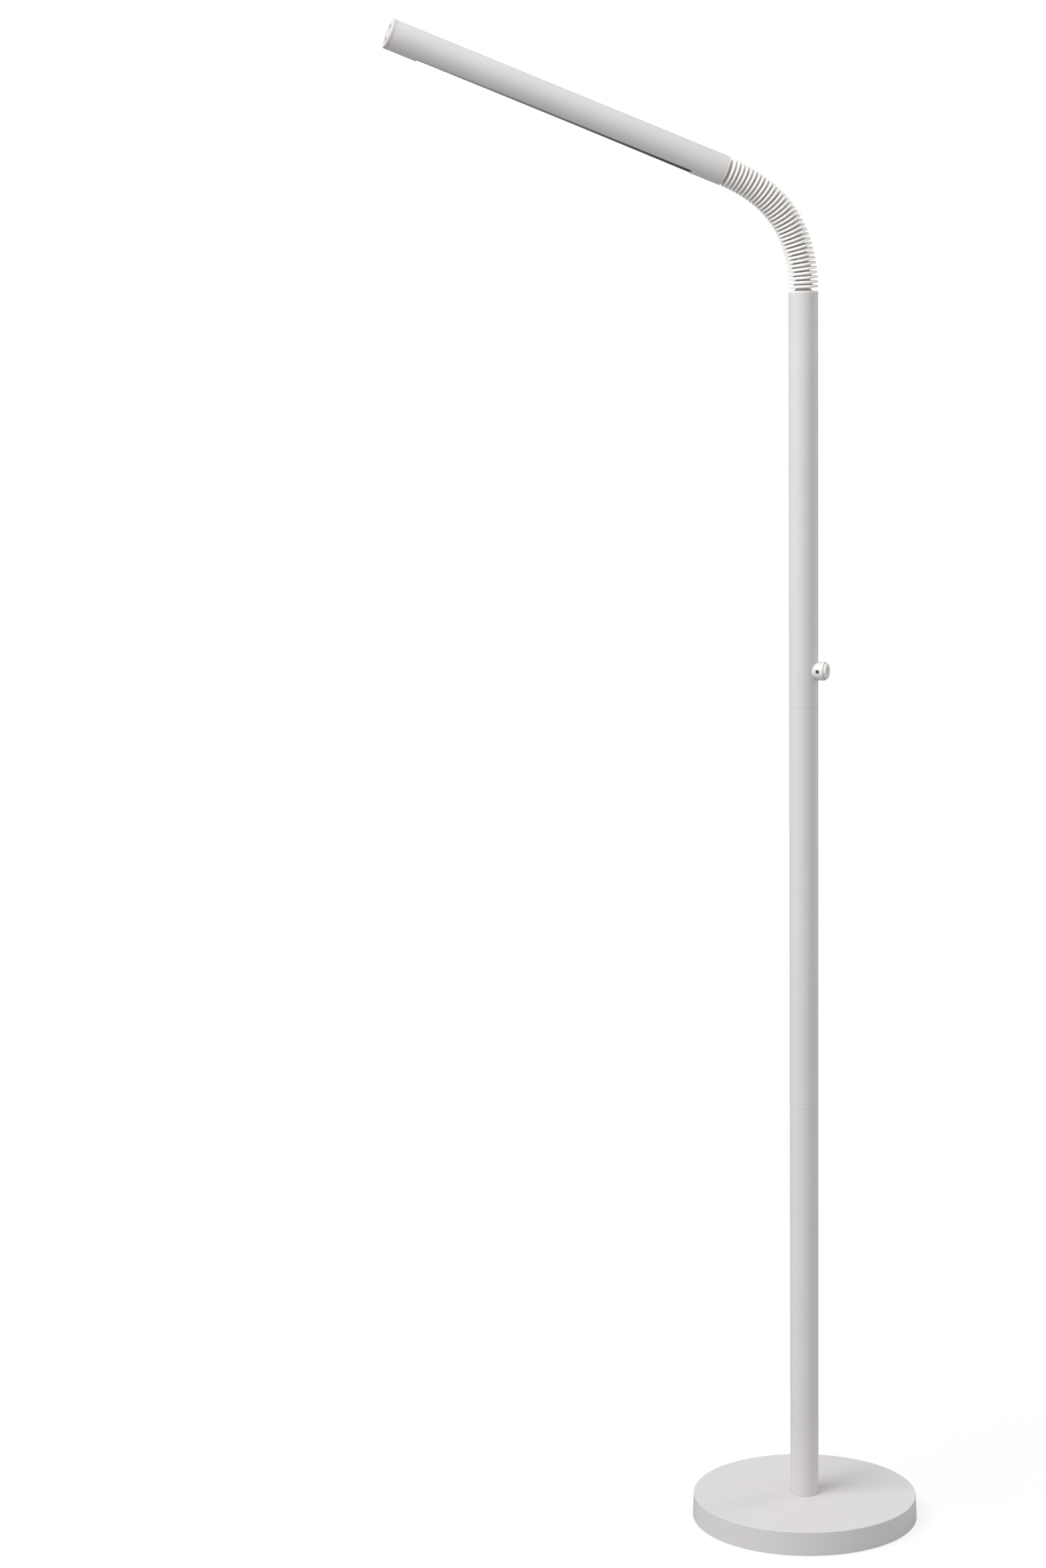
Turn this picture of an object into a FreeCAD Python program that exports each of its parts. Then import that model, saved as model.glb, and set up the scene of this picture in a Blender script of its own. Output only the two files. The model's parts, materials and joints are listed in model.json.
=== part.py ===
import FreeCAD, Part
import math
import os
import re
import Sketcher
from FreeCAD import Placement, Rotation, Vector

# Adjustable arm floor lamp: weighted round base, three-section pole, ribbed flexible neck, LED bar head.
# Frame: +Z up, origin under the centre of the base on the pole's axis, the neck bends towards -X.
# The bend eases in and out: its curvature is highest half way along the neck.
# Millimetres and degrees throughout.

DIMENSIONS = {
    # base
    "base_radius": 109.5,
    "base_height": 24.0,
    "base_draft": 1.0,
    "base_edge": 0.7,
    "cover_wall": 1.5,
    "cover_lift": 1.0,
    "pad_radius": 106.5,
    "pad_thickness": 2.0,
    "plate_thickness": 1.2,
    "weight_radius": 105.5,
    "weight_bottom": 3.4,
    "weight_height": 18.0,
    "nut_recess_radius": 21.0,
    "nut_recess_depth": 12.3,
    "channel_width": 9.0,
    "channel_depth": 9.6,
    "plate_screw_circle": 70.0,
    "plate_screw_radius": 1.9,
    "plate_screw_length": 11.0,
    # cord inlet in the rear of the base
    "inlet_height": 9.5,
    "inlet_bore_radius": 3.3,
    "inlet_neck_radius": 4.8,
    "inlet_flange_radius": 6.2,
    "inlet_flange_thickness": 2.0,
    "inlet_barb_length": 4.0,
    "washer_thickness": 1.6,
    "nut_height": 6.0,
    # pole
    "pole_radius": 13.7,
    "pole_wall": 1.2,
    "section_length": 388.0,
    "pole_end_bevel": 0.35,
    "insert_clearance": 0.05,
    "tail_radius": 6.0,
    "tail_bore_radius": 4.0,
    "tail_end": 7.8,
    "foot_plug_length": 28.0,
    "joint_stud_radius": 8.0,
    "joint_stud_length": 16.0,
    "joint_insert_length": 26.0,
    "joint_bore_radius": 5.0,
    "wire_radius": 1.5,
    # push switch on the upper section
    "switch_height": 835.0,
    "switch_turn": -34.0,
    "switch_barrel_radius": 8.8,
    "switch_barrel_reach": 21.3,
    "switch_floor_reach": 18.1,
    "switch_saddle_height": 40.0,
    "switch_bush_radius": 4.0,
    "switch_bush_start": 5.6,
    "switch_body_side": 11.0,
    "switch_screw_reach": 16.1,
    "switch_screw_radius": 1.75,
    "button_radius": 7.55,
    "button_skirt_reach": 20.6,
    "button_face_reach": 23.8,
    "button_dish_radius": 3.6,
    "plunger_radius": 2.0,
    "plunger_start": 9.5,
    # flexible neck
    "rib_pitch": 4.1,
    "rib_radius": 14.0,
    "rib_tip_thickness": 2.1,
    "rib_root_thickness": 2.7,
    "core_radius": 8.5,
    "socket_radius": 7.6,
    "socket_depth": 4.1,
    "ball_radius": 7.2,
    "ball_half_height": 2.6,
    "neck_bore_radius": 3.0,
    "neck_turn": 68.3,
    "neck_easing": 0.27,
    "collar_thickness": 2.2,
    "neck_plug_length": 26.0,
    "head_plug_length": 22.0,
    "grub_screw_distance": 12.0,
    "grub_screw_radius": 1.5,
    # head
    "head_radius": 13.85,
    "head_wall": 1.4,
    "head_length": 330.0,
    "window_start": 28.6,
    "window_length": 272.5,
    "window_flat": 11.95,
    "window_slot_width": 10.6,
    "diffuser_face": 11.5,
    "diffuser_thickness": 1.2,
    "diffuser_lip_thickness": 0.6,
    "diffuser_lip_width": 11.4,
    "carrier_start": 38.0,
    "carrier_end_gap": 4.2,
    "carrier_flange_width": 17.2,
    "carrier_seat": 8.4,
    "channel_offset": 5.9,
    "board_start": 26.0,
    "board_width": 11.0,
    "board_thickness": 1.0,
    "chip_height": 0.6,
    "chip_pitch": 7.0,
    "end_cap_thickness": 3.7,
    "end_screw_radius": 1.4,
    "end_screw_head_radius": 2.7,
}
LINK_COUNT = 17
RIBS_PER_LINK = 2
CHIP_COUNT = 38

doc = FreeCAD.newDocument("FloorLamp")
sheet = doc.addObject("Spreadsheet::Sheet", "Dimensions")
for row, (alias, number) in enumerate(DIMENSIONS.items(), start=1):
    sheet.set(f"A{row}", alias)
    sheet.set(f"B{row}", str(number))
    sheet.setAlias(f"B{row}", alias)
doc.recompute()

SHEET_WORD = re.compile(r"[a-z_]+")
AXIS_X, AXIS_Y, AXIS_Z = Vector(1, 0, 0), Vector(0, 1, 0), Vector(0, 0, 1)
ALONG_X, AGAINST_X, ALONG_Y = Rotation(AXIS_Y, 90), Rotation(AXIS_Y, -90), Rotation(AXIS_X, -90)
nodes = {}


def bound(text):
    """The expression with each sheet alias written out in full."""
    return SHEET_WORD.sub(lambda m: f"Dimensions.{m[0]}" if m[0] in DIMENSIONS else m[0], text)


def value(text):
    """The expression's number."""
    return float(sheet.evalExpression(bound(text)))


def at(x=0, y=0, z=0, axis=AXIS_Z, angle=0.0):
    """A placement from a point and one turn."""
    return Placement(Vector(x, y, z), Rotation(axis, angle))


def keep(node, name, place=None):
    """Names a finished sub-part and puts it in its place."""
    node.Label = name
    if place is not None:
        node.Placement = place
    nodes[name] = node
    return node


# ---- building blocks ----


def solid(kind, name, place=None, **sizes):
    """A Part primitive whose sizes are bound to the sheet."""
    made = doc.addObject(f"Part::{kind}", name)
    for size, text in sizes.items():
        made.setExpression(size, bound(text))
    if place is not None:
        made.Placement = place
    return made


def cylinder(name, radius, height, place=None):
    return solid("Cylinder", name, place, Radius=radius, Height=height)


def block(name, length, width, height, place=None):
    return solid("Box", name, place, Length=length, Width=width, Height=height)


def joined(name, *pieces):
    made = doc.addObject("Part::MultiFuse", name)
    made.Shapes = list(pieces)
    return made


def grouped(name, pieces):
    made = doc.addObject("Part::Compound", name)
    made.Links = list(pieces)
    return made


def cut(name, base, *tools):
    made = doc.addObject("Part::Cut", name)
    made.Base = base
    made.Tool = tools[0] if len(tools) == 1 else joined(f"{name}_tools", *tools)
    return made


def attach(sketch, body, turn=0.0, lift=0.0):
    """Puts a sketch on its body's XZ plane, turned in that plane and moved along the body's axis."""
    plane = next(o for o in body.Origin.OriginFeatures if o.Role == "XZ_Plane")
    sketch.AttachmentSupport = (plane, [""])
    sketch.MapMode = "FlatFace"
    sketch.AttachmentOffset = at(0, lift, 0, AXIS_Z, turn)


def pin_point(sketch, line, end, name, radius, height):
    """Binds a sketch point to its radius and height."""
    if radius == "0":
        sketch.addConstraint(Sketcher.Constraint("PointOnObject", line, end, -2))
    else:
        place = sketch.addConstraint(Sketcher.Constraint("DistanceX", -1, 1, line, end, value(radius)))
        sketch.renameConstraint(place, f"radius_{name}")
        sketch.setExpression(f"Constraints.radius_{name}", bound(radius))
    if height == "0":
        sketch.addConstraint(Sketcher.Constraint("PointOnObject", line, end, -1))
    else:
        place = sketch.addConstraint(Sketcher.Constraint("DistanceY", -1, 1, line, end, value(height)))
        sketch.renameConstraint(place, f"height_{name}")
        sketch.setExpression(f"Constraints.height_{name}", bound(height))


def revolve(body, sketch, name):
    turned = body.newObject("PartDesign::Revolution", name)
    turned.Profile = sketch
    turned.ReferenceAxis = (sketch, ["V_Axis"])
    turned.Angle = 360
    return turned


def lathe(name, outline, place=None):
    """A body turned about Z. The outline is a closed list of (radius, height) expressions."""
    body = doc.addObject("PartDesign::Body", name)
    sketch = body.newObject("Sketcher::SketchObject", f"{name}_outline")
    attach(sketch, body)
    points = [Vector(value(r), value(z), 0) for r, z in outline]
    count = len(points)
    for i in range(count):
        sketch.addGeometry(Part.LineSegment(points[i], points[(i + 1) % count]), False)
    for i in range(count):
        sketch.addConstraint(Sketcher.Constraint("Coincident", i, 2, (i + 1) % count, 1))
    for i, (radius, height) in enumerate(outline):
        pin_point(sketch, i, 1, str(i), radius, height)
    revolve(body, sketch, f"{name}_turned")
    if place is not None:
        body.Placement = place
    return body


def tube(name, outer, inner, bottom, top, bevel="0.2"):
    """A round tube with bevelled outer rims."""
    return lathe(name, [
        (inner, bottom),
        (f"{outer} - {bevel}", bottom),
        (outer, f"{bottom} + {bevel}"),
        (outer, f"{top} - {bevel}"),
        (f"{outer} - {bevel}", top),
        (inner, top),
    ])


def rib(body, name, turn, lift):
    """One rounded rib round the neck: thick at the core, thin at its rim."""
    sketch = body.newObject("Sketcher::SketchObject", f"{name}_outline")
    attach(sketch, body, turn, lift)
    inner = value("core_radius - 0.4")
    half_root = value("rib_root_thickness / 2")
    tip = value("rib_tip_thickness / 2")
    centre = value("rib_radius - rib_tip_thickness / 2")
    slope = math.atan2(half_root - tip, centre - inner)
    low = Vector(centre + tip * math.sin(slope), -tip * math.cos(slope), 0)
    high = Vector(low.x, -low.y, 0)
    circle = Part.Circle(Vector(centre, 0, 0), AXIS_Z, tip)
    sketch.addGeometry(Part.LineSegment(Vector(inner, half_root, 0), Vector(inner, -half_root, 0)), False)
    sketch.addGeometry(Part.LineSegment(Vector(inner, -half_root, 0), low), False)
    sketch.addGeometry(Part.ArcOfCircle(circle, slope - math.pi / 2, math.pi / 2 - slope), False)
    sketch.addGeometry(Part.LineSegment(high, Vector(inner, half_root, 0)), False)
    sketch.addConstraint(Sketcher.Constraint("Coincident", 0, 2, 1, 1))
    sketch.addConstraint(Sketcher.Constraint("Tangent", 1, 2, 2, 1))
    sketch.addConstraint(Sketcher.Constraint("Tangent", 2, 2, 3, 1))
    sketch.addConstraint(Sketcher.Constraint("Coincident", 3, 2, 0, 1))
    pin_point(sketch, 0, 1, "root_high", "core_radius - 0.4", "rib_root_thickness / 2")
    pin_point(sketch, 1, 1, "root_low", "core_radius - 0.4", "-rib_root_thickness / 2")
    pin_point(sketch, 2, 3, "tip", "rib_radius - rib_tip_thickness / 2", "0")
    size = sketch.addConstraint(Sketcher.Constraint("Radius", 2, tip))
    sketch.setExpression(f"Constraints[{size}]", bound("rib_tip_thickness / 2"))
    return revolve(body, sketch, name)


def ball(body, name, height):
    """The round zone of a ball whose centre is a neck joint."""
    zone = body.newObject("PartDesign::AdditiveSphere", name)
    zone.setExpression("Radius", bound("ball_radius"))
    zone.setExpression("Angle1", bound("-asin(ball_half_height / ball_radius)"))
    zone.setExpression("Angle2", bound("asin(ball_half_height / ball_radius)"))
    zone.Placement = at(0, 0, value(height))
    return zone


def bore(body, name, radius, height, bottom="0"):
    """A round hole along the body's axis."""
    hole = body.newObject("PartDesign::SubtractiveCylinder", name)
    hole.setExpression("Radius", bound(radius))
    hole.setExpression("Height", bound(height))
    hole.Placement = at(0, 0, value(bottom))
    return hole


def grub_screw(name, radius, length, place):
    """A headless screw along +Z with a hexagon socket in its outer end."""
    shank = cylinder(f"{name}_shank", f"{radius} - 0.05", length)
    socket = doc.addObject("Part::Prism", f"{name}_socket")
    socket.Polygon = 6
    socket.setExpression("Circumradius", bound(f"{radius} * 0.5"))
    socket.Height = 2.0
    socket.Placement = at(0, 0, value(length) - 1.2)
    return keep(cut(name, shank, socket), name, place)


def wires(name, points, radii):
    """A round lead along straight runs joined by tangent arcs."""
    edges = []
    start = points[0]
    for i in range(1, len(points) - 1):
        before = (points[i] - points[i - 1]).normalize()
        after = (points[i + 1] - points[i]).normalize()
        half_turn = before.getAngle(after) / 2
        back = radii[i - 1] * math.tan(half_turn)
        first = points[i] - before * back
        last = points[i] + after * back
        inward = (after - before).normalize()
        middle = points[i] + inward * (radii[i - 1] / math.cos(half_turn) - radii[i - 1])
        edges.append(Part.LineSegment(start, first).toShape())
        edges.append(Part.Arc(first, middle, last).toShape())
        start = last
    edges.append(Part.LineSegment(start, points[-1]).toShape())
    path = Part.Wire(edges)
    heading = (points[1] - points[0]).normalize()
    ring = Part.Wire([Part.makeCircle(value("wire_radius"), points[0], heading)])
    lead = doc.addObject("Part::Feature", name)
    lead.Shape = path.makePipeShell([ring], True, True)
    print(f"{name}: {path.Length:.1f} mm long, arc radii {radii}")
    return keep(lead, name)


# ---- places along the lamp ----

POLE_TOP = "(base_height + 3 * section_length)"
COLLAR_TOP = f"({POLE_TOP} + collar_thickness)"
RIB_COUNT = LINK_COUNT * RIBS_PER_LINK
NECK_LENGTH = value("rib_pitch") * (RIB_COUNT + 1)
INNER_RADIUS = "(pole_radius - pole_wall)"
INSERT_RADIUS = "(pole_radius - pole_wall - insert_clearance)"
HEAD_INNER = "(head_radius - head_wall)"
HALF_GAP = "((rib_pitch - rib_root_thickness) / 2)"


def neck_angle(distance):
    """How far the neck has turned, in radians, at a distance along it."""
    share = distance / NECK_LENGTH
    eased = share - value("neck_easing") * math.sin(2 * math.pi * share) / (2 * math.pi)
    return math.radians(value("neck_turn")) * eased


def neck_point(distance):
    """The point of the neck's centreline at a distance along it."""
    steps = 4 * max(1, round(distance))
    step = distance / steps
    angles = [neck_angle(step * (i + 0.5)) for i in range(steps)]
    x = -step * sum(math.sin(angle) for angle in angles)
    z = step * sum(math.cos(angle) for angle in angles)
    return Vector(x, 0, value(COLLAR_TOP) + z)


def upright_turned(point, angle):
    """The frame at a point with Z turned from upright towards -X by an angle in radians."""
    return Placement(point, Rotation(AXIS_Y, -math.degrees(angle)))


def neck_end_frame(extra):
    """The frame at the neck's end and extra along its tangent: Z outwards."""
    end = upright_turned(neck_point(NECK_LENGTH), neck_angle(NECK_LENGTH))
    return end * at(z=extra)


def joint_distance(index):
    """How far along the neck the joint below link number index lies, counting from 0."""
    return value("rib_pitch") * (RIBS_PER_LINK * index + 0.5)


def head_frame(distance=0.0):
    """The frame on the head's axis, Z outwards along the head, X up out of its back."""
    return neck_end_frame(value("collar_thickness") + distance)


def switch_frame():
    """The frame of the switch: X outwards along the button."""
    return at(0, 0, value("switch_height"), AXIS_Z, value("switch_turn"))


def neck_screw_frame(reach=0.0):
    """The frame of the neck's grub screw, reach from the pole's axis: Z outwards."""
    return Placement(Vector(0, reach, value(f"{POLE_TOP} - grub_screw_distance")), ALONG_Y)


def head_screw_frame(reach=0.0):
    """The frame of the head's grub screw, reach from the head's axis: Z outwards, towards the light."""
    return head_frame(value("grub_screw_distance")) * Placement(Vector(-reach, 0, 0), AGAINST_X)


# ---- base ----


def make_base_cover():
    top_radius = "base_radius - base_draft"
    inside = "base_radius - cover_wall"
    shell = lathe("base_cover_shell", [
        ("tail_radius + 0.3", "base_height - cover_wall - 0.5"),
        (f"{inside} - base_draft", "base_height - cover_wall - 0.5"),
        (inside, "cover_lift"),
        ("base_radius", "cover_lift"),
        (top_radius, "base_height - base_edge"),
        (f"{top_radius} - base_edge * 0.3", "base_height - base_edge * 0.3"),
        (f"{top_radius} - base_edge", "base_height"),
        ("tail_radius + 0.3", "base_height"),
    ])
    inlet = cylinder("base_cover_inlet", "inlet_neck_radius + 0.1", "base_radius")
    inlet.Placement = Placement(Vector(0, value("base_radius * 0.5"), value("inlet_height")), ALONG_Y)
    keep(cut("base_cover", shell, inlet), "base_cover")


def plate_screw_places(bottom):
    reach = value("plate_screw_circle")
    for i in range(3):
        angle = math.radians(120 * i + 30)
        yield at(reach * math.cos(angle), reach * math.sin(angle), bottom)


def make_base_weight():
    disc = cylinder("weight_disc", "weight_radius", "weight_height")
    recess = cylinder("weight_recess", "nut_recess_radius", "nut_recess_depth")
    tail_hole = cylinder("weight_tail_hole", "tail_radius + 0.4", "weight_height")
    side = value("channel_width")
    channel = block("weight_channel", "channel_width", "weight_radius", "channel_depth", at(-side / 2, 0, 0))
    wide = value("inlet_flange_radius") * 2 + 2
    pocket = block("weight_pocket", "inlet_flange_radius * 2 + 2", "weight_radius", "channel_depth + 3.6",
                   at(-wide / 2, value("weight_radius") - 6, 0))
    holes = [cylinder(f"weight_screw_hole_{i}", "plate_screw_radius + 0.05", "plate_screw_length", place)
             for i, place in enumerate(plate_screw_places(0))]
    weight = cut("base_weight", disc, recess, tail_hole, channel, pocket, *holes)
    keep(weight, "base_weight", at(z=value("weight_bottom")))


def make_base_plate_and_pad():
    disc = cylinder("plate_disc", "pad_radius", "plate_thickness")
    holes = [solid("Cone", f"plate_hole_{i}", place, Radius1="plate_screw_radius * 2 + 0.1",
                   Radius2="plate_screw_radius + 0.2", Height="plate_thickness")
             for i, place in enumerate(plate_screw_places(0))]
    keep(cut("base_plate", disc, *holes), "base_plate", at(z=value("pad_thickness")))
    keep(cylinder("base_pad", "pad_radius", "pad_thickness"), "base_pad")
    screws = []
    for i, place in enumerate(plate_screw_places(value("pad_thickness"))):
        head = solid("Cone", f"plate_screw_head_{i}", place, Radius1="plate_screw_radius * 2",
                     Radius2="plate_screw_radius", Height="plate_thickness")
        shank = cylinder(f"plate_screw_shank_{i}", "plate_screw_radius", "plate_screw_length", place)
        screws.append(joined(f"plate_screw_{i}", head, shank))
    keep(grouped("base_plate_screws", screws), "base_plate_screws")


def make_foot_fastening():
    ceiling = "weight_bottom + nut_recess_depth"
    washer = cut("washer_ring", cylinder("washer_disc", "tail_radius * 2.4", "washer_thickness"),
                 cylinder("washer_hole", "tail_radius + 0.3", "washer_thickness"))
    keep(washer, "base_washer", at(z=value(f"{ceiling} - washer_thickness")))
    hexagon = doc.addObject("Part::Prism", "nut_hexagon")
    hexagon.Polygon = 6
    hexagon.setExpression("Circumradius", bound("tail_radius * 1.75"))
    hexagon.setExpression("Height", bound("nut_height"))
    nut = cut("nut_ring", hexagon, cylinder("nut_hole", "tail_radius + 0.05", "nut_height"))
    keep(nut, "base_nut", at(z=value(f"{ceiling} - washer_thickness - nut_height")))


def make_cord_grommet():
    rim = "base_radius + 0.3"
    barb = f"{rim} - cover_wall - 1.1"
    outside = f"{rim} + inlet_flange_thickness"
    outline = [
        ("inlet_bore_radius", f"{barb} - inlet_barb_length"),
        ("inlet_neck_radius + 0.8", f"{barb} - inlet_barb_length"),
        ("inlet_neck_radius + 0.8", barb),
        ("inlet_neck_radius", barb),
        ("inlet_neck_radius", rim),
        ("inlet_flange_radius", rim),
        ("inlet_flange_radius", f"{outside} - 1"),
        ("inlet_flange_radius - 1", outside),
        ("inlet_bore_radius", outside),
    ]
    grommet = lathe("cord_grommet", outline)
    keep(grommet, "cord_grommet", Placement(Vector(0, 0, value("inlet_height")), ALONG_Y))


# ---- pole ----


def make_foot_plug():
    plug = lathe("pole_foot_plug", [
        ("tail_bore_radius", "tail_end"),
        ("tail_radius - 0.6", "tail_end"),
        ("tail_radius", "tail_end + 0.6"),
        ("tail_radius", "base_height"),
        (INSERT_RADIUS, "base_height"),
        (INSERT_RADIUS, "base_height + foot_plug_length"),
        ("tail_bore_radius", "base_height + foot_plug_length"),
    ])
    keep(plug, "pole_foot_plug")


def make_pole_sections():
    for number, name in enumerate(("lower_pole", "middle_pole", "upper_pole")):
        bottom = f"(base_height + {number} * section_length)"
        top = f"(base_height + {number + 1} * section_length)"
        section = tube(f"{name}_tube", "pole_radius", INNER_RADIUS, bottom, top, "pole_end_bevel")
        if name == "upper_pole":
            switch_hole = cylinder("upper_pole_switch_hole", "switch_bush_radius + 0.1", "pole_radius + 5")
            switch_hole.Placement = switch_frame() * Placement(Vector(), ALONG_X)
            screw_hole = cylinder("upper_pole_screw_hole", "grub_screw_radius + 0.1", "pole_radius + 5")
            screw_hole.Placement = neck_screw_frame()
            section = cut(name, section, switch_hole, screw_hole)
        keep(section, name)


def make_pole_joints():
    sockets, studs = [], []
    for number in (1, 2):
        seam = f"(base_height + {number} * section_length)"
        sockets.append(lathe(f"pole_joint_socket_{number}", [
            ("joint_bore_radius", f"{seam} - joint_insert_length"),
            (INSERT_RADIUS, f"{seam} - joint_insert_length"),
            (INSERT_RADIUS, f"{seam} - 0.2"),
            ("joint_stud_radius + 0.8", f"{seam} - 0.2"),
            ("joint_stud_radius + 0.05", f"{seam} - 0.95"),
            ("joint_stud_radius + 0.05", f"{seam} - joint_stud_length - 1"),
            ("joint_bore_radius", f"{seam} - joint_stud_length - 1"),
        ]))
        studs.append(lathe(f"pole_joint_stud_{number}", [
            ("joint_bore_radius", f"{seam} - joint_stud_length"),
            ("joint_stud_radius - 0.8", f"{seam} - joint_stud_length"),
            ("joint_stud_radius", f"{seam} - joint_stud_length + 0.8"),
            ("joint_stud_radius", f"{seam} + 0.2"),
            (INSERT_RADIUS, f"{seam} + 0.2"),
            (INSERT_RADIUS, f"{seam} + joint_insert_length"),
            ("joint_bore_radius", f"{seam} + joint_insert_length"),
        ]))
    keep(grouped("pole_joint_sockets", sockets), "pole_joint_sockets")
    keep(grouped("pole_joint_studs", studs), "pole_joint_studs")


def make_pole_wires():
    level = value("inlet_height")
    low = value("weight_bottom + wire_radius + 0.3")
    near = value("switch_height - switch_body_side * 0.65")
    wires("lower_wires", [
        Vector(0, value("base_radius") - 8, level),
        Vector(0, 36, level),
        Vector(0, 21, low),
        Vector(0, 0, low),
        Vector(0, 0, near),
    ], [20, 20, 3.9])
    wires("upper_wires", [
        Vector(0, 0, value("switch_height + switch_body_side * 0.65")),
        Vector(0, 0, value(f"{POLE_TOP} - neck_plug_length")),
    ], [])


# ---- switch ----


def make_switch_housing():
    barrel = lathe("switch_barrel", [
        ("switch_bush_radius + 0.15", "pole_radius - 4"),
        ("switch_barrel_radius", "pole_radius - 4"),
        ("switch_barrel_radius", "switch_barrel_reach - 0.4"),
        ("switch_barrel_radius - 0.4", "switch_barrel_reach"),
        ("button_radius + 0.25", "switch_barrel_reach"),
        ("button_radius + 0.25", "switch_floor_reach"),
        ("switch_bush_radius + 0.15", "switch_floor_reach"),
    ])
    barrel.Placement = Placement(Vector(), ALONG_X)
    pole = cylinder("switch_saddle", "pole_radius", "switch_saddle_height",
                    at(z=-value("switch_saddle_height") / 2))
    screw_hole = cylinder("switch_screw_hole", "switch_screw_radius + 0.1", "switch_barrel_radius + 2")
    screw_hole.Placement = Placement(Vector(value("switch_screw_reach"), 0, 0), Rotation(AXIS_X, 90))
    keep(cut("switch_housing", barrel, pole, screw_hole), "switch_housing", switch_frame())


def make_switch_body():
    side = value("switch_body_side")
    case = block("switch_case", "switch_body_side * 1.4", "switch_body_side", "switch_body_side * 1.3",
                 at(value("pole_radius") - 2.8 - side * 1.4, -side / 2, -side * 0.65))
    start = value("switch_bush_start")
    bush = cylinder("switch_bush", "switch_bush_radius", "switch_floor_reach - switch_bush_start - 0.4")
    bush.Placement = Placement(Vector(start, 0, 0), ALONG_X)
    hole = cylinder("switch_plunger_hole", "plunger_radius + 0.06", "switch_floor_reach - switch_bush_start")
    hole.Placement = Placement(Vector(start + 1, 0, 0), ALONG_X)
    keep(cut("switch_body", joined("switch_case_and_bush", case, bush), hole), "switch_body", switch_frame())


def make_switch_button():
    cap = lathe("switch_button", [
        ("0", "button_skirt_reach + 1.5"),
        ("plunger_radius + 0.02", "button_skirt_reach + 1.5"),
        ("plunger_radius + 0.02", "button_skirt_reach"),
        ("button_radius", "button_skirt_reach"),
        ("button_radius", "button_face_reach - 0.8"),
        ("button_radius - 0.8", "button_face_reach"),
        ("button_dish_radius", "button_face_reach"),
        ("button_dish_radius - 0.5", "button_face_reach - 0.6"),
        ("0", "button_face_reach - 0.6"),
    ])
    keep(cap, "switch_button", switch_frame() * Placement(Vector(), ALONG_X))
    plunger = cylinder("switch_plunger", "plunger_radius", "button_skirt_reach + 1.5 - plunger_start")
    start = Vector(value("plunger_start"), 0, 0)
    keep(plunger, "switch_plunger", switch_frame() * Placement(start, ALONG_X))


def make_switch_screw():
    inner_end = Vector(value("switch_screw_reach"), -value("switch_bush_radius") - 0.3, 0)
    grub_screw("switch_grub_screw", "switch_screw_radius", "switch_barrel_radius - switch_bush_radius - 1.3",
               switch_frame() * Placement(inner_end, Rotation(AXIS_X, 90)))


# ---- neck ----


def make_neck_base_plug():
    riser_top = f"collar_thickness + rib_pitch / 2 - {HALF_GAP} - 0.3"
    body = lathe("neck_base_plug", [
        ("0", "-neck_plug_length"),
        (f"{INSERT_RADIUS} - 1", "-neck_plug_length"),
        (INSERT_RADIUS, "1 - neck_plug_length"),
        (INSERT_RADIUS, "0"),
        ("pole_radius - 0.1", "0"),
        ("pole_radius - 0.1", "collar_thickness - 0.5"),
        ("pole_radius - 0.6", "collar_thickness"),
        ("core_radius", "collar_thickness"),
        ("core_radius", riser_top),
        ("0", riser_top),
    ], at(z=value(POLE_TOP)))
    ball(body, "neck_base_ball", "collar_thickness + rib_pitch / 2")
    bore(body, "neck_base_bore", "neck_bore_radius", "neck_plug_length + 20", "-neck_plug_length")
    screw_hole = cylinder("neck_base_screw_hole", "grub_screw_radius", "pole_radius")
    screw_hole.Placement = neck_screw_frame(value("neck_bore_radius") + 3)
    keep(cut("neck_base_plug_bored", body, screw_hole), "neck_base_plug")
    grub_screw("neck_grub_screw", "grub_screw_radius", "6", neck_screw_frame(value(INSERT_RADIUS) - 5.4))


def make_neck_link(number):
    """A link's frame has its origin on the joint below it and Z towards the joint above it."""
    name = f"neck_link_{number:02d}"
    low, high = neck_point(joint_distance(number - 1)), neck_point(joint_distance(number))
    middle = (joint_distance(number - 1) + joint_distance(number)) / 2
    half = value("rib_pitch / 2")
    wedge = math.degrees(neck_angle(middle + half) - neck_angle(middle - half))
    body = lathe(name, [
        ("neck_bore_radius", "socket_depth"),
        ("socket_radius", "socket_depth"),
        ("socket_radius", f"{HALF_GAP} + 0.2"),
        ("core_radius", f"{HALF_GAP} + 0.2"),
        ("core_radius", f"rib_pitch * 2 - {HALF_GAP} - 0.2"),
        ("neck_bore_radius", f"rib_pitch * 2 - {HALF_GAP} - 0.2"),
    ])
    rib(body, f"{name}_rib_low", -wedge / 2, value("rib_pitch / 2"))
    rib(body, f"{name}_rib_high", wedge / 2, value("rib_pitch * 1.5"))
    ball(body, f"{name}_ball", "rib_pitch * 2")
    bore(body, f"{name}_bore", "neck_bore_radius", "rib_pitch * 4")
    keep(body, name, upright_turned(low, math.atan2(low.x - high.x, high.z - low.z)))


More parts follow.
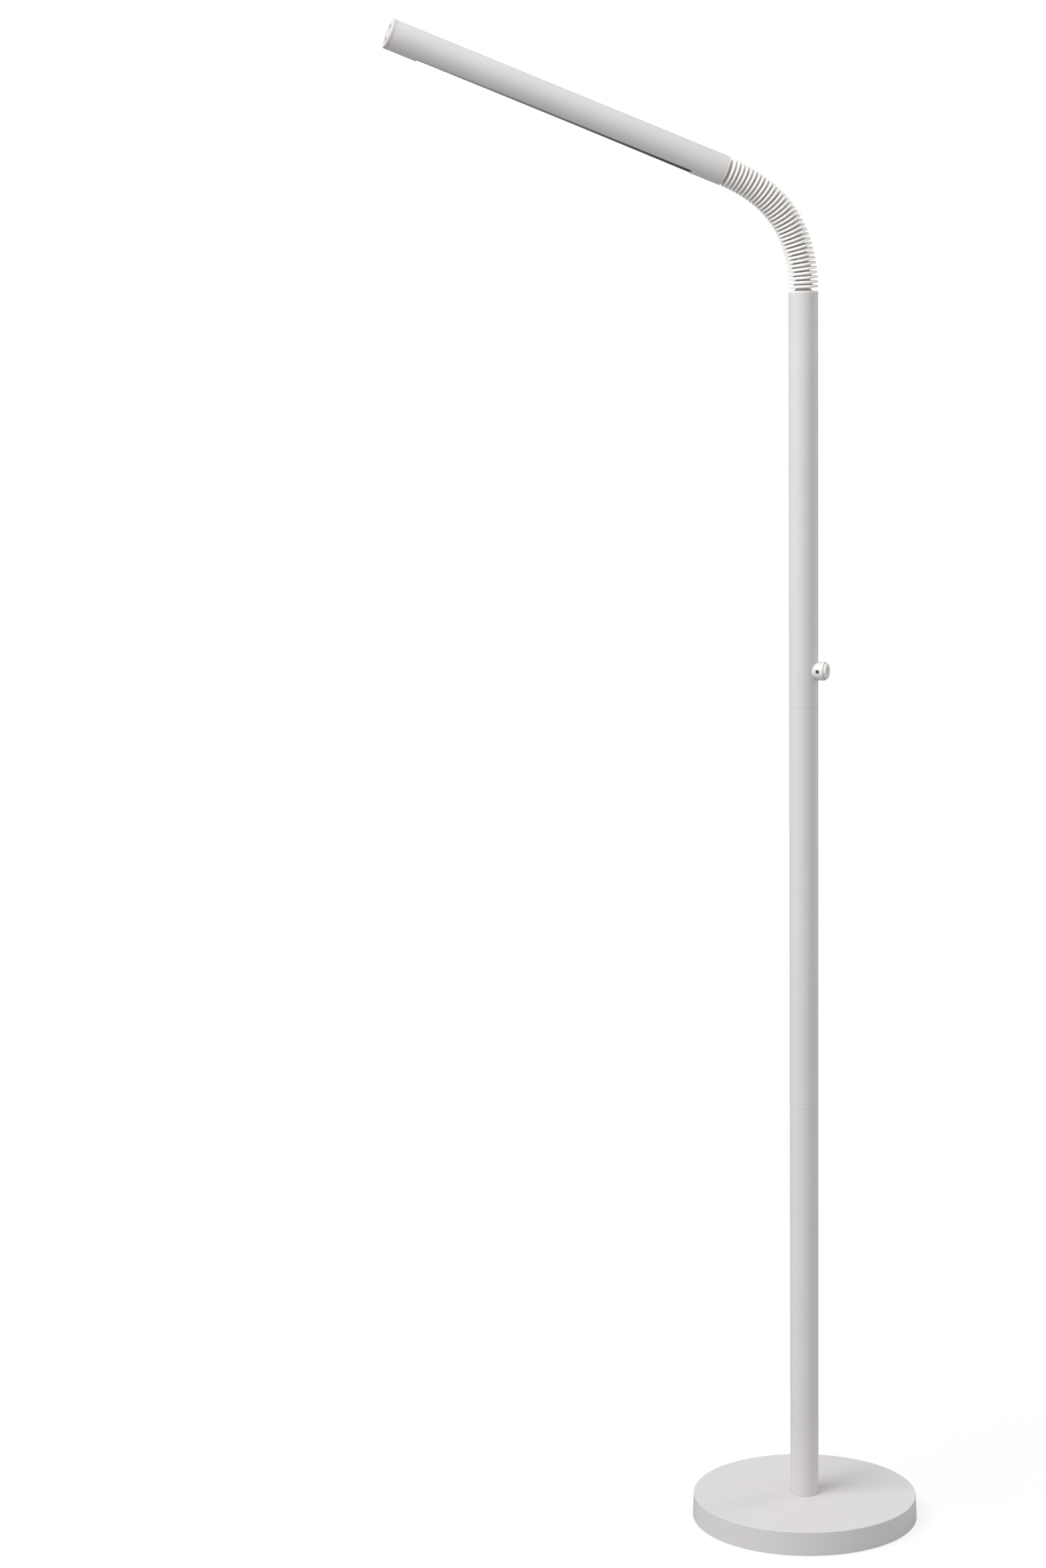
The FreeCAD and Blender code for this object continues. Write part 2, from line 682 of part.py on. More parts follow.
def make_neck_head_plug():
    face = "rib_pitch / 2"
    body = lathe("neck_head_plug", [
        ("neck_bore_radius", "socket_depth"),
        ("socket_radius", "socket_depth"),
        ("socket_radius", HALF_GAP),
        ("core_radius", HALF_GAP),
        ("core_radius", face),
        ("head_radius - 0.5", face),
        ("head_radius", f"{face} + 0.5"),
        ("head_radius", f"{face} + collar_thickness"),
        (f"{HEAD_INNER} - insert_clearance", f"{face} + collar_thickness"),
        (f"{HEAD_INNER} - insert_clearance", f"{face} + collar_thickness + head_plug_length"),
        ("neck_bore_radius", f"{face} + collar_thickness + head_plug_length"),
    ])
    body.Placement = neck_end_frame(-value("rib_pitch / 2"))
    screw_hole = cylinder("head_plug_screw_hole", "grub_screw_radius", "head_radius")
    inner_end = value("neck_bore_radius") + 3
    screw_hole.Placement = head_screw_frame(inner_end)
    keep(cut("neck_head_plug_bored", body, screw_hole), "neck_head_plug")
    grub_screw("head_grub_screw", "grub_screw_radius", "head_radius - neck_bore_radius - 3.9",
               head_screw_frame(inner_end + 0.2))


# ---- head: Z runs outwards along the bar, -X faces down to the light ----


def make_head_tube():
    shell = lathe("head_shell", [
        (HEAD_INNER, "0"),
        ("head_radius - 0.2", "0"),
        ("head_radius", "0.2"),
        ("head_radius", "head_length - 0.2"),
        ("head_radius - 0.2", "head_length"),
        (HEAD_INNER, "head_length"),
    ])
    flat = block("head_flat", "head_radius", "head_radius * 2", "window_length",
                 at(-value("window_flat + head_radius"), -value("head_radius"), value("window_start")))
    slot = block("head_slot", "head_radius", "window_slot_width", "window_length",
                 at(-value("head_radius") - 6, -value("window_slot_width") / 2, value("window_start")))
    screw_hole = cylinder("head_screw_hole", "grub_screw_radius + 0.1", "head_radius")
    screw_hole.Placement = Placement(Vector(0, 0, value("grub_screw_distance")), AGAINST_X)
    keep(cut("head_tube", shell, flat, slot, screw_hole), "head_tube", head_frame())


def make_carrier_bar():
    """Extruded bar that carries the light board and the end cap's screws."""
    length = "head_length - carrier_start - carrier_end_gap"
    seat = value("carrier_seat")
    width = value("carrier_flange_width")
    flange = block("carrier_flange", "1.8", "carrier_flange_width", length, at(-seat, -width / 2, 0))
    web = block("carrier_web", "carrier_seat + 9.5", "2.4", length, at(-seat, -1.2, 0))
    back = block("carrier_back", "1.6", "10", length, at(9.0, -5, 0))
    offset = value("channel_offset")
    rounds = [cylinder(f"carrier_round_{i}", "end_screw_radius + 1.0", length, at(side * offset))
              for i, side in enumerate((-1, 1))]
    holes = [cylinder(f"carrier_hole_{i}", "end_screw_radius + 0.05", length, at(side * offset))
             for i, side in enumerate((-1, 1))]
    bar = cut("carrier_bar", joined("carrier_profile", flange, web, back, *rounds), *holes)
    keep(bar, "carrier_bar", head_frame(value("carrier_start")))


def make_light_board():
    seat = value("carrier_seat")
    thickness = value("board_thickness")
    board = block("led_board", "board_thickness", "board_width", "window_start + window_length - board_start")
    corner = at(-seat - thickness, -value("board_width") / 2, value("board_start"))
    keep(board, "led_board", head_frame() * corner)
    first = value("window_start") + (value("window_length") - (CHIP_COUNT - 1) * value("chip_pitch")) / 2
    chips = []
    for i in range(CHIP_COUNT):
        middle = first + i * value("chip_pitch")
        place = at(-seat - thickness - value("chip_height"), -1.75, middle - 1.4)
        chips.append(block(f"led_chip_{i:02d}", "chip_height", "3.5", "2.8", place))
    keep(grouped("led_chips", chips), "led_chips", head_frame())


def make_diffuser():
    strip_width = value("window_slot_width") - 0.3
    lip_width = value("diffuser_lip_width")
    start = value("window_start")
    back = value("diffuser_thickness - diffuser_face")
    strip = block("diffuser_strip", "diffuser_thickness", "window_slot_width - 0.3", "window_length - 0.4",
                  at(-value("diffuser_face"), -strip_width / 2, start + 0.2))
    lips = block("diffuser_lips", "diffuser_lip_thickness", "diffuser_lip_width", "window_length - 1",
                 at(back - value("diffuser_lip_thickness"), -lip_width / 2, start + 0.5))
    keep(joined("diffuser", strip, lips), "diffuser", head_frame())


def make_end_cap():
    cap = lathe("head_end_cap_disc", [
        ("0", "-4"),
        (f"{HEAD_INNER} - 0.1", "-4"),
        (f"{HEAD_INNER} - 0.1", "0"),
        ("head_radius", "0"),
        ("head_radius", "end_cap_thickness - 0.6"),
        ("head_radius - 0.6", "end_cap_thickness"),
        ("0", "end_cap_thickness"),
    ])
    offset = value("channel_offset")
    tools, screws = [], []
    sink = "(end_screw_head_radius - end_screw_radius)"
    for i, side in enumerate((-1, 1)):
        centre = side * offset
        tools.append(cylinder(f"end_cap_hole_{i}", "end_screw_radius + 0.1", "12", at(centre, 0, -6)))
        tools.append(solid("Cone", f"end_cap_sink_{i}", at(centre, 0, value(f"end_cap_thickness - {sink}")),
                           Radius1="end_screw_radius + 0.25", Radius2="end_screw_head_radius + 0.25",
                           Height=f"{sink} + 0.01"))
        head = solid("Cone", f"end_screw_head_{i}", at(centre, 0, value(f"end_cap_thickness - {sink} - 0.1")),
                     Radius1="end_screw_radius", Radius2="end_screw_head_radius", Height=sink)
        shank = cylinder(f"end_screw_shank_{i}", "end_screw_radius", "end_cap_thickness + 12",
                         at(centre, 0, -12.2))
        slots = [block(f"end_screw_slot_{i}_{k}", "3", "0.7", "2",
                       at(centre, 0, value("end_cap_thickness") - 0.9, AXIS_Z, 90 * k) * at(-1.5, -0.35, 0))
                 for k in (0, 1)]
        screws.append(cut(f"end_screw_{i}", joined(f"end_screw_blank_{i}", head, shank), *slots))
    far_end = head_frame(value("head_length"))
    keep(cut("head_end_cap", cap, *tools), "head_end_cap", far_end)
    keep(grouped("end_cap_screws", screws), "end_cap_screws", far_end)


def make_head_wires():
    """Leads from the neck's bore down to the end of the light board."""
    lift = -value("carrier_seat") + value("wire_radius")
    frame = head_frame()
    start = value("head_plug_length")
    end = value("carrier_start")
    route = [
        Vector(0, 0, start + 0.2),
        Vector(0, 0, start + 3),
        Vector(lift, 0, end - 5),
        Vector(lift, 0, end - 1),
    ]
    wires("head_wires", [frame.multVec(point) for point in route], [3.5, 3.5])


def check_and_export():
    """Every object is sound and every sub-part is a valid closed shape before any file is written."""
    doc.recompute()
    faults = [f"{o.Name}: {o.State}" for o in doc.Objects if {"Invalid", "Error"} & set(o.State)]
    for name, node in nodes.items():
        if node.Shape.isNull() or not node.Shape.isValid() or not node.Shape.Solids:
            faults.append(f"{name}: bad shape")
    if faults:
        raise RuntimeError("; ".join(faults))
    os.makedirs("parts", exist_ok=True)
    for name, node in nodes.items():
        node.Shape.exportStep(f"parts/{name}.step")
        print(f"{name}: {len(node.Shape.Solids)} solids, {node.Shape.Volume:.0f} mm3")


make_base_cover()
make_base_weight()
make_base_plate_and_pad()
make_foot_fastening()
make_cord_grommet()
make_foot_plug()
make_pole_sections()
make_pole_joints()
make_pole_wires()
make_switch_housing()
make_switch_body()
make_switch_button()
make_switch_screw()
make_neck_base_plug()
for link_number in range(1, LINK_COUNT + 1):
    make_neck_link(link_number)
make_neck_head_plug()
make_head_tube()
make_carrier_bar()
make_light_board()
make_diffuser()
make_end_cap()
make_head_wires()
check_and_export()
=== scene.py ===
import json
import math

import bmesh
import bpy
from mathutils import Matrix, Vector


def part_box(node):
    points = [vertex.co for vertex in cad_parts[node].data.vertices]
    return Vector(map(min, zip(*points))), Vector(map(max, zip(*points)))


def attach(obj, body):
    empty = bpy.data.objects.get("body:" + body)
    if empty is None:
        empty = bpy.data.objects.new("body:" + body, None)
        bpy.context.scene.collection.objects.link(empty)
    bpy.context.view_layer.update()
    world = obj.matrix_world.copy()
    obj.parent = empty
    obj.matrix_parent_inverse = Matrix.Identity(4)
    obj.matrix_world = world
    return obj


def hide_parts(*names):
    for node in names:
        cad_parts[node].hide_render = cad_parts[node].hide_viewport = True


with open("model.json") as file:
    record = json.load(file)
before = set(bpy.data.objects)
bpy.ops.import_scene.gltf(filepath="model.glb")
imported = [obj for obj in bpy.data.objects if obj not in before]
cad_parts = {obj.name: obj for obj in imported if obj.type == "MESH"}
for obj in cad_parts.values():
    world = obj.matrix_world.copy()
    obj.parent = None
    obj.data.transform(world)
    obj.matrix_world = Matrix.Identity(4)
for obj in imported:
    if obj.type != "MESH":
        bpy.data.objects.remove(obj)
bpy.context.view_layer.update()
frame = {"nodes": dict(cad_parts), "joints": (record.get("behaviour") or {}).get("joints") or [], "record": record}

# The looks of an adjustable arm floor lamp: powder-coated base, pole and head, ribbed neck, white switch.
# Everything is in metres in the CAD frame. Places and most outer sizes are measured on the CAD nodes;
# wall thicknesses, fillets, clearances and the neck's ribs, balls and sockets are given here.

MM = 0.001
TAU = 2 * math.pi
AXIS_X, AXIS_Y, AXIS_Z = Vector((1, 0, 0)), Vector((0, 1, 0)), Vector((0, 0, 1))
ROUND = 128  # segments round a tube
FINE = 48  # segments round a small piece
BASE_ROUND, PAD_ROUND, HEAD_ROUND, RIB_ROUND = 256, 192, 160, 96
WELD = 0.0001 * MM  # points nearer than this are one point


# ---- measuring the frame ----


def span(node, direction, origin=Vector()):
    """(least, most) distance of a CAD node's corners from origin along direction."""
    reach = [(v.co - origin).dot(direction) for v in frame["nodes"][node].data.vertices]
    return min(reach), max(reach)


def middle_height(node):
    low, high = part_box(node)
    return (low.z + high.z) / 2


def joint(name):
    return next(j for j in frame["joints"] if j["name"] == name)


def axes_frame(origin, along, up):
    """A frame whose Z runs along the piece and whose X is the part of up square to it."""
    z = along.normalized()
    x = (up - z * up.dot(z)).normalized()
    y = z.cross(x)
    return Matrix((
        (x.x, y.x, z.x, origin.x), (x.y, y.y, z.y, origin.y), (x.z, y.z, z.z, origin.z), (0, 0, 0, 1)))


# ---- mesh building ----


def rounded(outline, closed, steps=4):
    """An outline of (radius, height, fillet) points as (radius, height) points with rounded corners."""
    side_share = 0.45  # the most of each side that one fillet takes
    count = len(outline)
    made = []
    for i, (r, z, size) in enumerate(outline):
        corner = Vector((r, z))
        if size == 0 or (not closed and i in (0, count - 1)):
            made.append(corner)
            continue
        before = Vector(outline[i - 1][:2]) - corner
        after = Vector(outline[(i + 1) % count][:2]) - corner
        half = before.angle(after) / 2
        back = min(size / math.tan(half), side_share * before.length, side_share * after.length)
        size = back * math.tan(half)
        bisector = (before.normalized() + after.normalized()).normalized()
        centre = corner + bisector * (size / math.sin(half))
        start = corner + before.normalized() * back
        end = corner + after.normalized() * back
        guard = min(size * 0.3, 0.2 * back)  # a narrow band each side keeps the flats' shading flat
        made.append(start + before.normalized() * guard)
        first = start - centre
        sweep = first.angle_signed(end - centre)
        for k in range(steps + 1):
            turn = -sweep * k / steps
            made.append(centre + Matrix.Rotation(turn, 2) @ first)
        made.append(end + after.normalized() * guard)
    return made


def shade(bm, sharp):
    """Smooth shading, but for edges sharper than the given angle in degrees."""
    for face in bm.faces:
        face.smooth = True
    for edge in bm.edges:
        edge.smooth = len(edge.link_faces) == 2 and edge.calc_face_angle(0) < math.radians(sharp)


def mesh_object(name, bm, sharp=30.0):
    """A finished mesh object made from a mesh in the making."""
    bmesh.ops.remove_doubles(bm, verts=bm.verts, dist=WELD)
    bmesh.ops.recalc_face_normals(bm, faces=bm.faces)
    shade(bm, sharp)
    mesh = bpy.data.meshes.new(name)
    bm.to_mesh(mesh)
    bm.free()
    made = bpy.data.objects.new(name, mesh)
    bpy.context.scene.collection.objects.link(made)
    return made


def skin_rings(rings, closed):
    """Faces between rings of points. A ring of one point is the end of a dome or disc."""
    bm = bmesh.new()
    loops = [[bm.verts.new(point) for point in ring] for ring in rings]
    pairs = list(zip(loops, loops[1:]))
    if closed:
        pairs.append((loops[-1], loops[0]))
    for low, high in pairs:
        count = max(len(low), len(high))
        for k in range(count):
            following = (k + 1) % count
            corners = [low[k % len(low)], low[following % len(low)],
                       high[following % len(high)], high[k % len(high)]]
            distinct = list(dict.fromkeys(corners))
            if len(distinct) > 2:
                bm.faces.new(distinct)
    return bm


def ring(radius, height, place, segments):
    """Points round a frame's Z, or the one point on it where the radius is nothing."""
    if radius < WELD:
        return [place @ Vector((0, 0, height))]
    turns = [TAU * k / segments for k in range(segments)]
    return [place @ Vector((radius * math.cos(turn), radius * math.sin(turn), height)) for turn in turns]


def turned(name, outline, place, closed=False, segments=ROUND, steps=4, sharp=30.0):
    """A turned piece. A closed outline is a ring; an open one starts and ends on the axis."""
    rings = [ring(p.x, p.y, place, segments) for p in rounded(outline, closed, steps)]
    return mesh_object(name, skin_rings(rings, closed), sharp)


def box_piece(name, low, high, place):
    """A plain block between two corners of a frame, for carving or bevelling."""
    bm = bmesh.new()
    bmesh.ops.create_cube(bm, size=1.0)
    for v in bm.verts:
        v.co = place @ Vector(low[i] + (v.co[i] + 0.5) * (high[i] - low[i]) for i in range(3))
    return mesh_object(name, bm)


def prism(name, radius, low, high, place, sides):
    """A plain prism along a frame's Z, for carving."""
    return mesh_object(name, skin_rings([
        ring(0, low, place, sides), ring(radius, low, place, sides),
        ring(radius, high, place, sides), ring(0, high, place, sides)], False))


def settle(obj, sharp=30.0):
    """Bakes an object's modifiers into its mesh."""
    graph = bpy.context.evaluated_depsgraph_get()
    mesh = bpy.data.meshes.new_from_object(obj.evaluated_get(graph))
    obj.modifiers.clear()
    bm = bmesh.new()
    bm.from_mesh(mesh)
    bmesh.ops.dissolve_degenerate(bm, edges=bm.edges, dist=WELD)
    shade(bm, sharp)
    bm.to_mesh(mesh)
    bm.free()
    obj.data = mesh
    return obj


def carve(obj, *cutters, sharp=30.0):
    """Cuts the cutters out of obj and removes them."""
    for cutter in cutters:
        cutting = obj.modifiers.new("cut", "BOOLEAN")
        cutting.operation = "DIFFERENCE"
        cutting.solver = "EXACT"
        cutting.object = cutter
    bpy.context.view_layer.update()
    settle(obj, sharp)
    for cutter in cutters:
        bpy.data.objects.remove(cutter)
    return obj


def soften(obj, width, segments=2, angle=40.0, sharp=30.0):
    """Rounds the edges that are sharper than an angle."""
    edge = obj.modifiers.new("soften", "BEVEL")
    edge.width = width
    edge.segments = segments
    edge.limit_method = "ANGLE"
    edge.angle_limit = math.radians(angle)
    edge.harden_normals = False
    bpy.context.view_layer.update()
    return settle(obj, sharp)


# ---- materials ----


def shader(name, color, roughness, metallic=0.0):
    """A Principled material, its shader and its tree."""
    made = bpy.data.materials.new(name)
    made.use_nodes = True
    principled = made.node_tree.nodes["Principled BSDF"]
    principled.inputs["Base Color"].default_value = (*color, 1)
    principled.inputs["Roughness"].default_value = roughness
    principled.inputs["Metallic"].default_value = metallic
    made.diffuse_color = (*color, 1)
    return made, principled, made.node_tree


def noise(tree, scale, detail=3.0, stretch=(1, 1, 1)):
    """Noise over the object's own coordinates, in metres."""
    place = tree.nodes.new("ShaderNodeTexCoord")
    mapping = tree.nodes.new("ShaderNodeMapping")
    mapping.inputs["Scale"].default_value = stretch
    texture = tree.nodes.new("ShaderNodeTexNoise")
    texture.inputs["Scale"].default_value = scale
    texture.inputs["Detail"].default_value = detail
    tree.links.new(place.outputs["Object"], mapping.inputs["Vector"])
    tree.links.new(mapping.outputs["Vector"], texture.inputs["Vector"])
    return texture.outputs["Fac"]


def tint(tree, principled, factor, dark, light):
    """Varies the base colour between two colours by a factor."""
    ramp = tree.nodes.new("ShaderNodeValToRGB")
    ramp.color_ramp.elements[0].position = 0.3
    ramp.color_ramp.elements[1].position = 0.7
    ramp.color_ramp.elements[0].color = (*dark, 1)
    ramp.color_ramp.elements[1].color = (*light, 1)
    tree.links.new(factor, ramp.inputs["Fac"])
    tree.links.new(ramp.outputs["Color"], principled.inputs["Base Color"])


def vary_roughness(tree, principled, factor, low, high):
    spread = tree.nodes.new("ShaderNodeMapRange")
    spread.inputs["To Min"].default_value = low
    spread.inputs["To Max"].default_value = high
    tree.links.new(factor, spread.inputs["Value"])
    tree.links.new(spread.outputs["Result"], principled.inputs["Roughness"])


def emboss(tree, principled, layers):
    """Stacks bump layers of (height, strength, depth in metres)."""
    previous = None
    for height, strength, depth in layers:
        bump = tree.nodes.new("ShaderNodeBump")
        bump.inputs["Strength"].default_value = strength
        bump.inputs["Distance"].default_value = depth
        tree.links.new(height, bump.inputs["Height"])
        if previous is not None:
            tree.links.new(previous, bump.inputs["Normal"])
        previous = bump.outputs["Normal"]
    tree.links.new(previous, principled.inputs["Normal"])


def scaled(color, factor):
    return tuple(min(1.0, c * factor) for c in color)


def paint_material():
    """Satin powder coat: orange peel, fine grain and faint cloudiness."""
    color = (0.665, 0.642, 0.645)
    made, principled, tree = shader("powder_coat", color, 0.42)
    principled.inputs["Specular IOR Level"].default_value = 0.45
    tint(tree, principled, noise(tree, 14, 4), scaled(color, 0.975), scaled(color, 1.02))
    vary_roughness(tree, principled, noise(tree, 60, 5), 0.36, 0.48)
    peel = (noise(tree, 420, 2), 0.35, 0.03 * MM)
    grain = (noise(tree, 1900, 2), 0.35, 0.012 * MM)
    emboss(tree, principled, [peel, grain])
    return made


def plastic_material(name, color, roughness, grain=2600, glow=0.0):
    """Moulded plastic with an even spark-eroded grain. Glow is the share of light scattered in it."""
    made, principled, tree = shader(name, color, roughness)
    principled.inputs["Subsurface Weight"].default_value = glow
    principled.inputs["Subsurface Radius"].default_value = (1, 1, 1)
    principled.inputs["Subsurface Scale"].default_value = 3.5 * MM
    principled.inputs["Specular IOR Level"].default_value = 0.4
    tint(tree, principled, noise(tree, 30, 3), scaled(color, 0.98), scaled(color, 1.015))
    vary_roughness(tree, principled, noise(tree, 90, 4), roughness - 0.04, roughness + 0.05)
    emboss(tree, principled, [(noise(tree, grain, 2), 0.4, 0.012 * MM)])
    return made


def steel_material(name, color, roughness, stretch=(1, 1, 12)):
    """Plated or bright steel with drawn lines and faint stains."""
    made, principled, tree = shader(name, color, roughness, 1.0)
    tint(tree, principled, noise(tree, 50, 5), scaled(color, 0.9), scaled(color, 1.06))
    vary_roughness(tree, principled, noise(tree, 240, 5, stretch), roughness - 0.08, roughness + 0.12)
    emboss(tree, principled, [(noise(tree, 700, 3, stretch), 0.3, 0.02 * MM)])
    return made


def cast_material():
    """Rough grey iron casting."""
    color = (0.16, 0.16, 0.165)
    made, principled, tree = shader("cast_iron", color, 0.7, 0.6)
    tint(tree, principled, noise(tree, 90, 6), scaled(color, 0.7), scaled(color, 1.25))
    vary_roughness(tree, principled, noise(tree, 200, 4), 0.6, 0.85)
    emboss(tree, principled, [(noise(tree, 320, 6), 0.8, 0.25 * MM)])
    return made


def soft_material(name, color, scale, depth):
    """Dull rubber or foam with open grain."""
    made, principled, tree = shader(name, color, 0.8)
    principled.inputs["Specular IOR Level"].default_value = 0.3
    tint(tree, principled, noise(tree, 70, 4), scaled(color, 0.85), scaled(color, 1.12))
    vary_roughness(tree, principled, noise(tree, 300, 3), 0.7, 0.9)
    emboss(tree, principled, [(noise(tree, scale, 4), 0.6, depth)])
    return made


def diffuser_material():
    """Frosted opal strip: soft inside, even sand-blasted face."""
    color = (0.72, 0.725, 0.73)
    made, principled, tree = shader("frosted_opal", color, 0.5)
    principled.inputs["Subsurface Weight"].default_value = 0.35
    principled.inputs["Subsurface Radius"].default_value = (1, 1, 1)
    principled.inputs["Subsurface Scale"].default_value = 1.5 * MM
    tint(tree, principled, noise(tree, 40, 3), scaled(color, 0.98), scaled(color, 1.02))
    vary_roughness(tree, principled, noise(tree, 500, 3), 0.45, 0.6)
    emboss(tree, principled, [(noise(tree, 3000, 2), 0.4, 0.01 * MM)])
    return made


MATERIALS = {
    "paint": paint_material(),
    "plastic": plastic_material("white_plastic", (0.76, 0.745, 0.725), 0.5, 2600, 0.2),
    "cast_weight": cast_material(),
    "plated_steel": steel_material("plated_steel", (0.6, 0.59, 0.56), 0.36),
    "screw_steel": steel_material("screw_steel", (0.2, 0.2, 0.2), 0.38, (1, 1, 1)),
    "foam_pad": soft_material("foam_pad", (0.045, 0.045, 0.047), 900, 0.15 * MM),
    "grommet_rubber": soft_material("pale_rubber", (0.6, 0.595, 0.58), 1200, 0.03 * MM),
    "switch_plastic": plastic_material("black_plastic", (0.05, 0.05, 0.052), 0.42),
    "carrier_aluminium": steel_material("extruded_aluminium", (0.74, 0.74, 0.75), 0.3, (14, 14, 1)),
    "board": plastic_material("solder_mask", (0.78, 0.79, 0.78), 0.35, 1500),
    "chips": plastic_material("phosphor", (0.86, 0.66, 0.2), 0.3, 1500),
    "diffuser": diffuser_material(),
    "wire_sleeve": plastic_material("wire_sleeve", (0.68, 0.68, 0.66), 0.5, 900),
}
# The neck's links and the head's end cap are in the plastic slot but look unlike its other pieces.
RIB_MATERIAL = plastic_material("rib_elastomer", (0.93, 0.9, 0.865), 0.58, 2200, 0.8)
CAP_MATERIAL = plastic_material("cap_plastic", (0.6, 0.575, 0.575), 0.5, 2600)


def finish_piece(piece, slot, body, *nodes, material=None):
    """Gives a piece its material, body and the CAD nodes that it stands for."""
    piece.data.materials.clear()
    piece.data.materials.append(material or MATERIALS[slot])
    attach(piece, body)
    if nodes:
        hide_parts(*nodes)
    return piece


def dress_cad_nodes():
    """The hidden CAD nodes keep their shapes and get their slot's material."""
    for part in frame["record"]["subparts"]:
        node = frame["nodes"][part["node"]]
        node.data.materials.clear()
        node.data.materials.append(MATERIALS[part["material_slot"]])


# ---- base ----

GROMMET_NECK = 4.9 * MM  # radius of the hole in the cover that the grommet is pressed into


def inlet_frame():
    """The frame of the cord inlet, with Z pointing out of the base."""
    return axes_frame(Vector((0, 0, middle_height("cord_grommet"))), AXIS_Y, AXIS_Z)


def make_base_cover():
    low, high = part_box("base_cover")
    radius, top, bottom = high.x, high.z, low.z
    draft, wall, hole = 1.0 * MM, 1.5 * MM, 6.3 * MM
    ceiling = top - 2.0 * MM
    cover = turned("base_cover_shell", [
        (hole, top, 0), (radius - draft, top, 0.8 * MM), (radius, bottom, 0.5 * MM),
        (radius - wall, bottom, 0.4 * MM), (radius - wall - draft, ceiling, 2 * MM), (hole, ceiling, 0)],
        Matrix(), True, BASE_ROUND)
    carve(cover, prism("inlet_cutter", GROMMET_NECK, radius / 2, radius * 1.2, inlet_frame(), FINE))
    finish_piece(cover, "paint", "stand", "base_cover")


def make_grommet():
    inner, outer = span("cord_grommet", AXIS_Y)
    bore, flange = 3.3 * MM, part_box("cord_grommet")[1].x
    barb, groove = GROMMET_NECK + 0.7 * MM, GROMMET_NECK - 0.1 * MM
    rim = outer - 2.0 * MM
    barb_end = rim - 2.6 * MM
    grommet = turned("cord_grommet_ring", [
        (bore, inner, 0.4 * MM), (barb, inner, 0.6 * MM), (barb, barb_end, 0.3 * MM),
        (groove, barb_end, 0), (groove, rim, 0), (flange, rim, 0.4 * MM),
        (flange - 0.5 * MM, outer, 1.0 * MM), (bore, outer, 0.8 * MM)], inlet_frame(), True, FINE)
    finish_piece(grommet, "grommet_rubber", "stand", "cord_grommet")


def make_base_pad():
    low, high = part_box("base_pad")
    pad = turned("base_pad_disc", [
        (0, low.z, 0), (high.x, low.z, 0.5 * MM), (high.x, high.z, 0.3 * MM), (0, high.z, 0)],
        Matrix(), False, PAD_ROUND)
    finish_piece(pad, "foam_pad", "stand", "base_pad")


# ---- pole ----

POLE_WALL = 1.2 * MM
SWITCH_HOLE = 4.1 * MM
SCREW_HOLE = 1.6 * MM  # radius of the holes in pole and head over their grub screws


def make_pole():
    for node in ("lower_pole", "middle_pole", "upper_pole"):
        low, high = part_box(node)
        outer, inner = high.x, high.x - POLE_WALL
        section = turned(f"{node}_tube", [
            (inner, low.z, 0), (outer, low.z, 0.45 * MM), (outer, high.z, 0.45 * MM), (inner, high.z, 0)],
            Matrix(), True)
        if node == "upper_pole":
            carve(section, prism("switch_hole", SWITCH_HOLE, 0, outer * 1.4, switch_frame(), FINE),
                  prism("screw_hole", SCREW_HOLE, 0, outer * 1.4, neck_screw_frame(), FINE))
        finish_piece(section, "paint", "stand", node)


def neck_screw_frame():
    return axes_frame(Vector((0, 0, middle_height("neck_grub_screw"))), AXIS_Y, AXIS_Z)


def grub_screw(node, place, body):
    """A headless screw with a hexagon socket and a bevelled rim."""
    low, high = span(node, place.to_3x3() @ AXIS_Z, place.translation)
    left, right = span(node, place.to_3x3() @ AXIS_X)
    radius = (right - left) / 2
    screw = turned(f"{node}_body", [
        (0, low, 0), (radius, low, 0.3 * MM), (radius, high, 0.3 * MM), (0, high, 0)], place, False, FINE)
    carve(screw, prism("hex_cutter", radius * 0.5, high - 1.2 * MM, high + MM, place, 6))
    finish_piece(screw, "screw_steel", body, node)


# ---- switch ----


def switch_frame():
    """The frame of the switch, with Z pointing out of the pole."""
    outward = -Vector(joint("button_press")["axis"])
    return axes_frame(Vector((0, 0, middle_height("switch_housing"))), outward, AXIS_Z)


def make_switch_housing():
    """A short barrel whose inner end is shaped to the pole, with the grub screw that holds it."""
    place = switch_frame()
    outward = place.to_3x3() @ AXIS_Z
    low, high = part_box("switch_housing")
    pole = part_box("lower_pole")[1].x
    radius = (high.z - low.z) / 2
    bush = 4.2 * MM
    reach = span("switch_housing", outward)[1]
    inner_radius = radius - 0.9 * MM
    floor = reach - 3.2 * MM
    outline = rounded([
        (bush, pole, 0), (radius, pole, 0), (radius, reach, 0.5 * MM), (inner_radius, reach, 0.25 * MM),
        (inner_radius, floor, 0.3 * MM), (bush, floor, 0)], True)
    rings = [ring(p.x, p.y, Matrix(), ROUND) for p in outline]
    for points in rings:
        for point in points:
            if point.z < pole + 1e-6:  # the saddle end lies on the pole
                point.z = math.sqrt(pole * pole - point.y * point.y)
    rings = [[place @ point for point in points] for points in rings]
    housing = mesh_object("switch_housing_barrel", skin_rings(rings, True))
    screw_place = switch_screw_frame(outward)
    carve(housing, prism("grub_hole", 1.85 * MM, 3 * MM, 12 * MM, screw_place, FINE))
    soften(housing, 0.2 * MM, 2, 50)
    finish_piece(housing, "plastic", "stand", "switch_housing")
    grub_screw("switch_grub_screw", screw_place, "stand")


def switch_screw_frame(outward):
    low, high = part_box("switch_grub_screw")
    middle = (low + high) / 2
    along = outward * (middle.dot(outward))
    sideways = (middle - along - AXIS_Z * middle.z).normalized()
    return axes_frame(along + AXIS_Z * middle.z, sideways, AXIS_Z)


